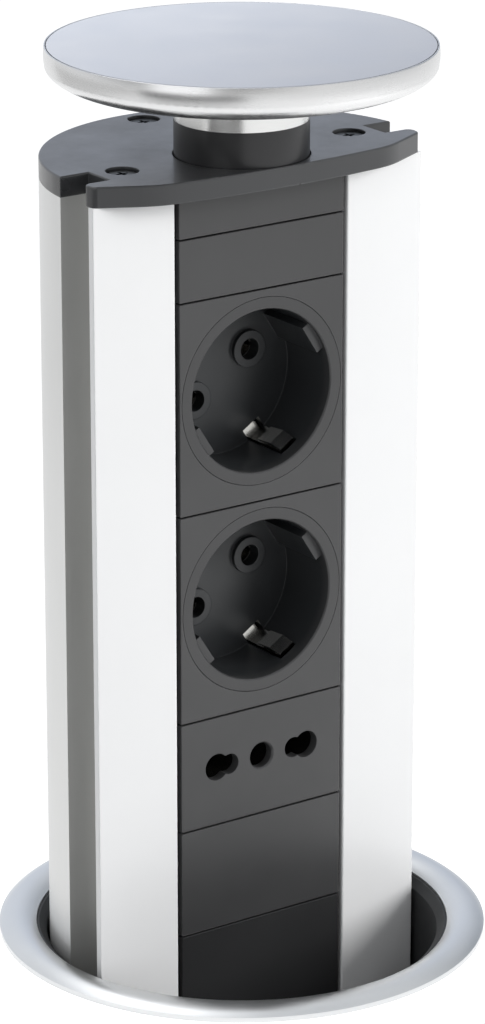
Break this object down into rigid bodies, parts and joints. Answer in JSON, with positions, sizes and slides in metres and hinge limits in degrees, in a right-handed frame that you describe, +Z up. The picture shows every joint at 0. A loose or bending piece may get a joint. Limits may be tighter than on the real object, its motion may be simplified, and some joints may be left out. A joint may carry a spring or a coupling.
{
  "type": "pop-up desk socket",
  "caption": "Round worktop socket column that slides up from a flanged sleeve, with a domed lid on a neck, earthed sockets facing forward and a clamp nut below.",
  "frame": {"origin": "centre of the round cut-out at the worktop's top surface, with the column raised", "axes": "+Z up along the column, -Y the way the socket faces look, +X to the right seen from the front"},
  "size_m": [0.1316, 0.1316, 0.2986],
  "materials": {
    "satin_metal": "satin anodised",
    "black_plastic": "fine texture",
    "black_gloss": "polished",
    "cap_plastic": "satin",
    "white_panel": "satin",
    "extrusion": "natural anodised",
    "module_plastic": "fine texture",
    "insert_plastic": "satin",
    "inner_plastic": "moulded",
    "guide_plastic": "moulded",
    "felt": "pressed felt",
    "steel": "bright zinc",
    "chromed": "polished",
    "dark_steel": "black oxide",
    "spring_steel": "bare spring steel",
    "contact_metal": "bright",
    "rubber_black": "smooth"
  },
  "bodies": {
    "mount": {"flange_ring": "satin_metal", "worktop_seal": "rubber_black", "guide_sleeve": "black_plastic", "guide_rail_left": "guide_plastic", "guide_rail_right": "guide_plastic", "brake_pad_left": "felt", "brake_pad_right": "felt", "brake_spring_left": "spring_steel", "brake_spring_right": "spring_steel", "stop_buffer_left": "rubber_black", "stop_buffer_right": "rubber_black", "rail_screws": "steel"},
    "clamp": {"clamp_washer": "steel"},
    "nut": {"clamp_nut": "black_plastic"},
    "column": {"rear_profile": "extrusion", "front_panel_left": "white_panel", "front_panel_right": "white_panel", "top_cap": "cap_plastic", "cap_screws": "dark_steel", "bottom_cap": "black_plastic", "foot_screws": "steel", "spring_cup": "inner_plastic", "top_blank": "module_plastic", "upper_blank": "module_plastic", "lower_blank": "module_plastic", "base_panel": "module_plastic", "socket_housing_upper": "module_plastic", "socket_housing_lower": "module_plastic", "socket_insert_upper": "insert_plastic", "socket_insert_lower": "insert_plastic", "earth_clip_upper": "steel", "earth_clip_lower": "steel", "socket_contacts_upper": "contact_metal", "socket_contacts_lower": "contact_metal", "outlet_plate": "module_plastic", "outlet_body": "inner_plastic", "outlet_contacts": "contact_metal", "busbar_live": "contact_metal", "busbar_neutral": "contact_metal", "busbar_earth": "contact_metal", "busbar_chassis": "inner_plastic", "terminal_block": "inner_plastic", "terminal_screws": "contact_metal", "gland_body": "black_plastic", "gland_locknut": "black_plastic", "gland_dome": "black_plastic", "gland_seal": "rubber_black"},
    "lid": {"lid_bowl": "satin_metal", "lid_inlay": "satin_metal", "lid_collar": "chromed", "neck_tube": "black_gloss", "lid_stem": "steel", "lid_spring": "spring_steel"}
  },
  "joints": [
    {"name": "clamp_slide", "type": "slide", "parent": "mount", "child": "clamp", "axis": [0, 0, 1], "range_m": [-0.028, 0.008]},
    {"name": "nut_turn", "type": "hinge", "parent": "clamp", "child": "nut", "pos_m": [0, 0, -0.03], "axis": [0, 0, 1], "range_deg": [-2520, 720]},
    {"name": "column_slide", "type": "slide", "parent": "mount", "child": "column", "axis": [0, 0, 1], "range_m": [-0.218, 0]},
    {"name": "lid_press", "type": "slide", "parent": "column", "child": "lid", "axis": [0, 0, 1], "range_m": [-0.004, 0], "stiffness_N_per_m": 1500, "springref_m": 0.006, "deforming": ["lid_spring"]}
  ],
  "couplings": [
    {"joint": "clamp_slide", "follows": "nut_turn", "m_per_rad": 0.0006366}
  ]
}
